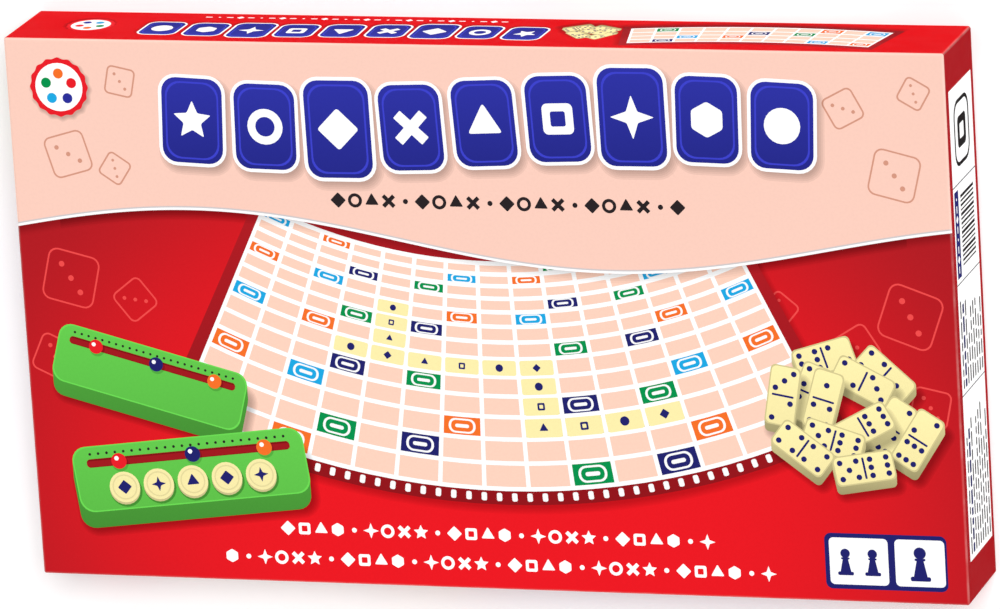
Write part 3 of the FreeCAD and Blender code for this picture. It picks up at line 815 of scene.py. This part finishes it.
def folded_over(edge, inward):
    """(inset, height) steps of paper folded round a wall's edge to its inner face, and back under itself.
    inward is the direction from the edge to the rest of the wall: 1 is up, -1 is down."""
    steps = arc_points((fold_radius, fold_radius), fold_radius, 180, 270, 4)
    steps += arc_points((wrapped_wall - fold_radius, fold_radius), fold_radius, 270, 360, 4)
    inside = wrapped_wall - paper
    steps += [(wrapped_wall, turn_in), (inside, turn_in), (inside, paper), (paper, paper)]
    return [(inset, edge + inward * away) for inset, away in steps]


def make_lid_wrap():
    skin = Skin()
    wall_low, wall_high = lid_floor + fold_radius, lid_top - edge_radius
    round_edge = [polar(edge_radius, degrees) for degrees in reversed(corner_angles)]
    skin.loft([
        box_ring(edge_radius - up, lid_top - edge_radius + out) for out, up in round_edge
    ], "field")
    skin.strip(box_ring(0.0, wall_low), box_ring(0.0, wall_high), "field", skip=flat_stations())
    fold = folded_over(lid_floor, 1) + [(paper, lid_top - paper)]
    inner_rings = [box_ring(*step) for step in reversed(fold)]
    skin.face(inner_rings[0][::-1], "field")
    skin.loft(inner_rings, "field")

    lid_top_art().fill(skin, lambda x, y: (x, y, lid_top))
    for side, draw in enumerate((draw_long_wall, draw_label_wall, draw_long_wall, draw_end_wall)):
        normal, run, reach, half_run = side_frame(side)
        along = [share * (half_run - edge_radius) for share in side_shares[side % 2]]
        art = Print([(s, wall_low) for s in along] + [(s, wall_high) for s in reversed(along)], "field")
        draw(art, wall_low, wall_high)
        art.fill(skin, lambda s, z: (*(normal * reach + run * s), z))
    skin.piece("lid_wrap", inks, "lid", "printed_paper", "lid_cover_paper")


def make_base_wrap():
    """Plain paper round the base's walls, folded over their top edge."""
    low, high = span("base_cover_paper")
    profile = [(0.0, low.z)] + folded_over(high.z, -1) + [(paper, low.z), (0.0, low.z)]
    skin = Skin()
    skin.loft([box_ring(*step, (high.x, high.y)) for step in profile], "base")
    skin.piece("base_wrap", {"base": base_paper}, "root", "base_paper", "base_cover_paper")


make_lid_wrap()


# ---- plain finishes ----
def moulded(name, code, roughness=0.32, grain=0.004, shift=0.03):
    """Moulded plastic: slow change of shade, fine skin from the mould, handling marks in the gloss."""
    finish = Finish(name)
    shade = finish.ramp(finish.noise(38.0, 2.0), 0.3, 0.7, 1.0 - shift, 1.0 + shift)
    marks = finish.ramp(
        finish.noise(6.0, 5.0, stretch=(1.0, 2.5, 1.0)), 0.38, 0.72, roughness - 0.05, roughness + 0.10
    )
    finish.set(Base_Color=finish.scaled(code, shade), Roughness=marks)
    finish.relief(finish.noise(0.35, 2.0), grain)
    finish.relief(finish.noise(14.0, 1.0), 0.02)
    return finish.material


def tile_plastic():
    """Cream plastic whose pieces differ a little from one to the next."""
    finish = Finish("tile_cream", IOR=1.49)
    marks = finish.ramp(finish.noise(3.0, 4.0), 0.35, 0.7, 0.26, 0.38)
    finish.set(Base_Color=finish.scaled("#F4E3A0", finish.tone()), Roughness=marks)
    finish.relief(finish.noise(5.0, 2.0), 0.02)
    return finish.material


def fibrous(name, dark, pale, size, stretch, roughness, depth, flecks=None):
    """Matt uncoated board or paper with fine fibres, and flecks of a third colour if one is given."""
    finish = Finish(name, Specular_IOR_Level=0.15)
    fibres = finish.noise(size, 4.0, stretch=(stretch, 1.0, 1.0))
    colour = finish.mix(finish.ramp(fibres, 0.3, 0.7), dark, pale)
    if flecks:
        colour = finish.mix(finish.ramp(finish.noise(0.9, 2.0), 0.66, 0.74), colour, flecks)
    finish.set(Base_Color=colour, Roughness=finish.ramp(fibres, 0.3, 0.7, *roughness))
    finish.relief(fibres, depth)
    return finish.material


def covering_paper():
    """Plain printed paper under the satin film, rubbed here and there."""
    finish = Finish("base_paper", **film)
    rub = finish.ramp(finish.noise(10.0, 5.0), 0.58, 0.80, 0.0, 0.10)
    add_film(finish, finish.mix(rub, "#A3171D", "#D9A8A4"))
    return finish.material


def dress(node, material, edge=0.0):
    """Gives a CAD node its finish and, where edge is given, rounds its edges by that much."""
    piece = frame["nodes"][node]
    piece.data.materials.clear()
    piece.data.materials.append(material)
    if edge:
        weld = piece.modifiers.new("weld", "WELD")
        weld.merge_threshold = 0.001 * MM
        bevel = piece.modifiers.new("edges", "BEVEL")
        bevel.width, bevel.segments = edge * MM, 2
        bevel.limit_method, bevel.angle_limit = "ANGLE", math.radians(35)
        bevel.harden_normals = True


greyboard = fibrous("greyboard", "#8F877B", "#A9A194", 1.1, 3.5, (0.82, 0.95), 0.05, "#6C6154")
base_paper = covering_paper()
dress("lid_shell", greyboard)
dress("base_shell", greyboard)
make_base_wrap()
dress("base_bottom_sheet", base_paper)
dress("board_plate", moulded("board_red", "#A3151B", 0.28), 0.35)
dress("board_grid", moulded("board_white", "#F3F2EE", 0.30), 0.15)
dress("turntable_disc", moulded("turntable_grey", "#4A4B50", 0.52, 0.02), 0.1)
dress("turntable_glide_pads", moulded("glide_white", "#EDECE6", 0.45), 0.2)
dress("turntable_feet", moulded("foot_rubber", "#1C1C1D", 0.80, 0.01), 0.3)
dress("pivot_pin", moulded("pin_black", "#17171A", 0.40), 0.25)
leaflet_material = fibrous("leaflet_paper", "#EEEBE2", "#FAF8F1", 0.8, 2.0, (0.78, 0.9), 0.008)
rack_material = moulded("rack_green", "#68C84E", 0.26)
pointer_material = moulded("pointer_red", "#E11A2B", 0.26)
rack_nodes = sorted(name for name in frame["nodes"] if name.startswith("rack_") and "pointer" not in name)
for rack_node in rack_nodes:
    dress(rack_node, rack_material, 0.3)
for pointer_node in sorted(name for name in frame["nodes"] if "_pointer_" in name):
    dress(pointer_node, pointer_material, 0.15)


# ---- formed trays ----
tray_sheet = 0.8
tray_draft = math.tan(math.radians(2.0))
tray_bend, tray_foot_bend, arc_steps = 1.6, 1.2, 5
lead_in = 0.25
tray_corner, seat_corner, well_corner, ridge_corner = 6.5, 5.5, 3.6, 1.6
seat_play, well_play, tile_play, pit_play = 0.65, 1.5, 1.65, 5.0
seat_drop, pit_drop = 3.2, 2.4
ridge_height, ridge_inset, ridge_gap = 1.8, 4.9, 1.15
tray_finish = {"tray": moulded("formed_tray", "#F1F1EF", 0.24, 0.002, 0.012)}


def rounded_edge(radius, grow, height):
    """(grow, height) steps over an outer edge: level first, then a bend down to upright at grow."""
    bend = arc_points((grow + radius, height - radius), radius, 90, 180, arc_steps)
    return [(grow + radius + lead_in, height)] + bend


def mirrored(steps, grow, height):
    """The same steps for an inner edge: upright at grow first, then a bend to level at height."""
    return [(2 * grow - across, 2 * height - down) for across, down in reversed(steps)]


def box_loop(area, radius):
    """A function of grow that gives a rounded outline round an area (x_low, x_high, y_low, y_high)."""
    x_low, x_high, y_low, y_high = area
    centre = ((x_low + x_high) / 2, (y_low + y_high) / 2)

    def loop(grow):
        bend = max(radius + grow, 0.2)
        return placed(rounded(x_high - x_low + 2 * grow, y_high - y_low + 2 * grow, bend, 6), centre)

    return loop


def at_height(loop, height):
    return [(x, y, height) for x, y in loop]


def area_with_play(low, high, play):
    return low.x - play, high.x + play, low.y - play, high.y + play


class Tray:
    """A formed sheet: a skirt, a level deck, and what is pressed into it."""

    def __init__(self, node):
        low, high = span(node)
        self.node, self.skin, self.levels = node, Skin(), []
        loop = box_loop(area_with_play(low, high, 0.0), tray_corner)
        edge = [(-grow, height) for grow, height in rounded_edge(tray_bend, 0.0, high.z)]
        self.join(loop, [(0.0, low.z)] + edge[::-1])
        self.deck = self.level(loop(edge[0][0]), high.z)

    def join(self, loop, profile):
        """Joins a loop's outlines at the (grow, height) steps of a profile."""
        self.skin.loft([at_height(loop(grow), height) for grow, height in profile], "tray")

    def level(self, outline, height):
        self.levels.append((Print(outline, "tray"), height))
        return self.levels[-1]

    def sink(self, level, loop, floor):
        """Sinks a drafted well into a level, and returns the level of its floor."""
        above, deck = level
        foot = rounded_edge(tray_foot_bend, 0.0, floor)
        profile = rounded_edge(tray_bend, (deck - floor) * tray_draft, deck) + mirrored(foot, 0.0, floor)
        above.add(loop(profile[0][0]), hides=0)
        self.join(loop, profile)
        return self.level(loop(profile[-1][0]), floor)

    def ridge(self, level, loop, height):
        """Raises a small round-topped ridge from a level."""
        below, floor = level
        over = rounded_edge(height / 2, 0.0, floor + height)
        foot = mirrored(rounded_edge(height / 2, 0.0, floor), 0.0, floor)
        profile = [(-grow, at) for grow, at in foot[::-1] + over[::-1]]
        below.add(loop(profile[0][0]), hides=0)
        self.join(loop, profile)
        self.level(loop(profile[-1][0]), profile[-1][1])

    def finish(self):
        """Fills the level parts and gives the sheet its thickness."""
        for level, height in self.levels:
            level.fill(self.skin, lambda x, y: (x, y, height))
        made = self.skin.piece("formed_" + self.node, tray_finish, "root", "formed_tray", self.node)
        solid = made.modifiers.new("sheet", "SOLIDIFY")
        solid.thickness, solid.offset = tray_sheet * MM, -1.0


def make_board_tray():
    tray = Tray("board_tray")
    seat_area = area_with_play(*span("board_plate"), seat_play)
    seat = tray.sink(tray.deck, box_loop(seat_area, seat_corner), span("board_card")[0].z - seat_drop)
    disc_low, disc_high = span("turntable_disc")
    middle = (disc_low + disc_high) / 2
    pit_radius, pit_floor = middle.x - disc_low.x + pit_play, span("turntable_feet")[0].z - pit_drop
    tray.sink(seat, lambda grow: placed(circle(pit_radius + grow, 96), middle), pit_floor)
    tray.finish()


def make_parts_tray():
    tray = Tray("parts_tray")
    rack_low, rack_high = span(rack_nodes[0])[0], span(rack_nodes[-1])[1]
    leaflet_low, leaflet_high = span("rules_leaflet")
    tile_low, tile_high = span("letter_tiles")
    rack_area = area_with_play(rack_low, rack_high, well_play)
    leaflet_area = area_with_play(leaflet_low, leaflet_high, well_play)[:2] + rack_area[2:]
    tile_area = area_with_play(tile_low, tile_high, tile_play)
    wells = ((rack_area, rack_low.z), (leaflet_area, leaflet_low.z), (tile_area, tile_low.z))
    rack_floor, *_ = [tray.sink(tray.deck, box_loop(area, well_corner), floor) for area, floor in wells]
    for before, after in zip(rack_nodes, rack_nodes[1:]):
        ridge = (
            rack_area[0] + ridge_inset, rack_area[1] - ridge_inset,
            span(before)[1].y + ridge_gap, span(after)[0].y - ridge_gap,
        )
        tray.ridge(rack_floor, box_loop(ridge, ridge_corner), ridge_height)
    tray.finish()


make_board_tray()
make_parts_tray()


# ---- numbers and letters ----
glyph_cache = {}


def glyph(text):
    """Corners and faces of text as a thin solid, one unit high and centred on the origin."""
    if text not in glyph_cache:
        curve = bpy.data.curves.new("glyph", "FONT")
        curve.body, curve.extrude, curve.resolution_u = text, 0.5, 3
        holder = bpy.data.objects.new("glyph", curve)
        mesh = bpy.data.meshes.new_from_object(holder)
        corners = [corner.co.copy() for corner in mesh.vertices]
        faces = [list(polygon.vertices) for polygon in mesh.polygons]
        xs, ys = [c.x for c in corners], [c.y for c in corners]
        high = max(ys) - min(ys)
        middle = Vector(((max(xs) + min(xs)) / 2, (max(ys) + min(ys)) / 2, 0.0))
        glyph_cache[text] = ([tuple((c - middle) / high) for c in corners], faces)
        for made, kind in ((holder, bpy.data.objects), (curve, bpy.data.curves), (mesh, bpy.data.meshes)):
            kind.remove(made)
    return glyph_cache[text]


# ---- the board's printed card ----
board_cells, grid_line = 15, 1.2
# coloured cells, by how many cells they are from the middle: the greater distance, then the other
marked_cells = {
    (0, 0): "red", (3, 1): "sky", (5, 3): "sky", (7, 4): "sky", (2, 2): "green", (6, 0): "green",
    (6, 6): "green", (4, 4): "orange", (5, 0): "orange", (7, 1): "navy",
}
cell_figures = {"red": "hexagon", "sky": "disc", "green": "diamond", "orange": "triangle", "navy": "cross"}


def board_art(half, pitch):
    """Pale cells, some of them coloured, with a white figure in a thin ring."""
    art = Print(rectangle(2 * half, 2 * half), "peach")
    for column in spaced(board_cells, 1):
        for row in spaced(board_cells, 1):
            far, near = max(abs(column), abs(row)), min(abs(column), abs(row))
            ink = marked_cells.get((far, near))
            if ink:
                spot = (column * pitch, row * pitch)
                art.draw(rounded(pitch - 0.5, pitch - 0.5, 0.3, 1), spot, ink)
                art.draw(circle(pitch * 0.36), spot, "white", tone=0.95, hole=circle(pitch * 0.33))
                draw_figure(art, cell_figures[ink], spot, pitch * 0.34, "white", tone=0.95)
    return art


def make_board_print():
    low, high = span("board_card")
    grid_low, grid_high = span("board_grid")
    pitch = (grid_high.x - grid_low.x - grid_line) / board_cells
    centre = (low + high) / 2
    half = (high.x - low.x) / 2
    skin = Skin()
    corners = placed(rectangle(2 * half, 2 * half), (centre.x, centre.y))
    bottom, top = at_height(corners, low.z), at_height(corners, high.z)
    board_art(half, pitch).fill(skin, lambda x, y: (centre.x + x, centre.y + y, high.z))
    skin.strip(bottom, top, "peach", smooth=False)
    skin.face(bottom[::-1], "peach")
    skin.piece("board_print", inks, "root", "board_print", "board_card")


# ---- scales on the racks ----
rack_lean = 64.0
face_foot = (6.6, 1.8)
band_raise = 0.6
slot_places = (-34.6, 0.0, 34.6)
slot_height = 22.6
digit_pitch, digit_rise, digit_size = 2.9, 2.55, 1.9
step_drop, step_size = 2.35, 1.7
print_depth, print_lift = 0.04, 0.4


def make_rack_scales():
    """0 to 9 above each slot, and what its steps count below it."""
    texts = []
    for slot, step in zip(slot_places, ("1", "10", "100")):
        texts.append((step, slot, slot_height - step_drop, step_size))
        for digit, along in enumerate(spaced(10, digit_pitch)):
            texts.append((str(digit), slot + along, slot_height + digit_rise, digit_size))
    skin = Skin()
    lean = Matrix.Rotation(math.radians(rack_lean), 3, "X")
    for node in rack_nodes:
        low, high = span(node)
        foot = Vector(((low.x + high.x) / 2, low.y + face_foot[0], low.z + face_foot[1]))
        for text, across, up, size in texts:
            skin.stamp(glyph(text), "charcoal", lambda x, y, z: foot + lean @ Vector((
                across + x * size, up + y * size, band_raise + (z + print_lift) * print_depth
            )))
    skin.piece("rack_scales", inks, "root", "rack_green")


# ---- letter tiles ----
tile_width, tile_pitch, tile_columns = 12.5, 12.8, 13
tile_letters = "ABCDEFGHIJKLMNOPQRSTUVWXYZ"
tile_counts = (8, 3, 3, 4, 10, 3, 3, 3, 8, 1, 2, 5, 3, 5, 7, 3, 1, 5, 5, 5, 5, 2, 2, 1, 2, 1)


def add_tile(skin, centre, floor, height, letter, value):
    """A tile with round corners and edges. A rarer letter has a higher number."""
    profile = ((0.35, 0.0), (0.0, 0.4), (0.0, height - 0.65), (0.12, height - 0.3), (0.34, height - 0.08),
               (0.66, height))
    rings = []
    for inset, above in profile:
        side = tile_width - 2 * inset
        rings.append(at_height(placed(rounded(side, side, 1.5 - inset, 3), centre), floor + above))
    skin.loft(rings, "tile")
    skin.face(rings[0][::-1], "tile")
    skin.face(rings[-1], "tile")
    top = floor + height
    for text, dx, dy, size in ((letter, -1.1, 0.5, 5.6), (str(value), 3.6, -2.9, 2.3)):
        skin.stamp(glyph(text), "navy", lambda x, y, z: (
            centre[0] + dx + x * size, centre[1] + dy + y * size, top + (z + print_lift) * print_depth
        ))


def make_tiles():
    low, high = span("letter_tiles")
    chance = random.Random(7)
    skin = Skin()
    letters = [pair for pair in zip(tile_letters, tile_counts) for _ in range(pair[1])]
    for number, (letter, count) in enumerate(letters):
        row, column = divmod(number, tile_columns)
        centre = (
            low.x + tile_width / 2 + column * tile_pitch, high.y - tile_width / 2 - row * tile_pitch
        )
        skin.shade = chance.uniform(0.95, 1.02)
        add_tile(skin, centre, low.z, high.z - low.z, letter, max(1, round(9 / count)))
    finishes = {"tile": tile_plastic(), "navy": inks["navy"]}
    skin.piece("tile_set", finishes, "root", "tile_cream", "letter_tiles")


# ---- leaflet ----
leaflet_panels = 6
leaflet_sheet = 0.22


def folded_section(low, high):
    """Closed outline (x, z) of a sheet folded to and fro: its underside, then its top backwards."""
    bend = (high.z - low.z - leaflet_sheet) / (leaflet_panels - 1) / 2
    reach = bend + leaflet_sheet / 2
    sides = []
    for offset in (leaflet_sheet / 2, -leaflet_sheet / 2):
        points = [(low.x, low.z + leaflet_sheet / 2 + offset)]
        for fold in range(leaflet_panels - 1):
            turn = (-1) ** fold
            x = high.x - reach if turn > 0 else low.x + reach
            centre = (x, low.z + leaflet_sheet / 2 + (2 * fold + 1) * bend)
            points += arc_points(centre, bend - turn * offset, 90 - 180 * turn, 90, 6)
        sides.append(points + [(low.x, high.z - leaflet_sheet / 2 - offset)])
    return sides[0] + sides[1][::-1]


def leaflet_art(wide, tall):
    """Front page: a coloured head, lines of marks and a small diagram."""
    top, column_width, line_pitch, square_pitch = tall / 2, wide - 9.0, 3.4, 7.6
    head = (0.0, top - 11.0)
    art = Print(rectangle(wide, tall), "page")
    art.draw(rounded(wide - 6, 14, 0.8), head, "red")
    figure_row(art, head, 5, 7.0, 5.0, "white", line_kinds)
    chance = random.Random(4)
    for line in range(15):
        share = chance.uniform(0.55, 0.75) if line % 5 == 4 else chance.uniform(0.92, 1.0)
        length = column_width * share
        spot = ((length - column_width) / 2, top - 25.0 - line * line_pitch)
        art.draw(rounded(length, 1.0, 0.4, 2), spot, "charcoal", tone=1.5)
    for column, x in enumerate(spaced(5, square_pitch)):
        for row in range(2):
            ink = ("sky", "peach", "orange", "peach", "green")[(column + row) % 5]
            art.draw(rounded(6.8, 6.8, 0.6, 2), (x, 9.0 - top + row * square_pitch), ink)
    return art


def make_leaflet():
    low, high = span("rules_leaflet")
    section = folded_section(low, high)
    front, back = ([(x, y, z) for x, z in section] for y in (low.y, high.y))
    top = len(section) // 2
    skin = Skin()
    skin.strip(front, back, "page", skip=(top,))
    skin.face(front[::-1], "page")
    skin.face(back, "page")
    left, right = section[top][0], section[top + 1][0]
    middle = ((left + right) / 2, (low.y + high.y) / 2)
    leaflet_art(right - left, high.y - low.y).fill(
        skin, lambda x, y: (middle[0] + x, middle[1] + y, high.z)
    )
    skin.piece("leaflet", dict(inks, page=leaflet_material), "root", "leaflet_paper", "rules_leaflet")


make_board_print()
make_rack_scales()
make_tiles()
make_leaflet()


# ---- stage, light and camera ----
def make_floor():
    """A white floor out to the horizon, with a faint glow against red light from the box."""
    side, gap = 120.0, 0.02 * MM
    mesh = bpy.data.meshes.new("floor")
    mesh.from_pydata(at_height(rectangle(side, side), -gap), [], [(0, 1, 2, 3)])
    finish = Finish("floor", Base_Color="#F7F7F7", Roughness=0.9, Specular_IOR_Level=0.1)
    finish.set(Emission_Color="#FFFFFF", Emission_Strength=0.13)
    mesh.materials.append(finish.material)
    add_to_scene("floor", mesh)


def make_light():
    """A white studio: bright towards the horizon, dimmer overhead, and one broad lamp."""
    world = bpy.data.worlds.new("studio")
    bpy.context.scene.world = world
    studio = Tree(world)
    background = studio.tree.nodes["Background"].inputs
    height = studio.node("SeparateXYZ", studio.node("TexCoord"), output=2)
    studio.put(background["Color"], "#FFFFFF")
    studio.put(background["Strength"], studio.ramp(height, 0.05, 0.80, 0.98, 0.34))
    lamp = add_to_scene("lamp", bpy.data.lights.new("lamp", "SUN"))
    lamp.data.energy, lamp.data.angle = 2.15, math.radians(28.0)
    lamp.rotation_euler = Vector((0.30, 0.36, 0.88)).to_track_quat("Z", "Y").to_euler()


def make_camera():
    """A long lens from far off, over the lid, that also sees its back and right walls."""
    turn, lean, roll = (math.radians(value) for value in (17.85, 15.78, -3.53))
    away, right, up = 4.0, 0.3685 * MM, -0.1275 * MM
    turned = Matrix.Rotation(turn, 4, "Y") @ Matrix.Rotation(-lean, 4, "X") @ Matrix.Rotation(roll, 4, "Z")
    middle = Matrix.Translation((cad_low + cad_high) / 2)
    camera = add_to_scene("camera", bpy.data.cameras.new("camera"))
    camera.matrix_world = middle @ turned @ Matrix.Translation((right, up, away))
    camera.data.lens, camera.data.sensor_width = 333.2, 36.0
    bpy.context.scene.camera = camera


make_floor()
make_light()
make_camera()
bpy.context.scene.view_settings.view_transform = "Standard"
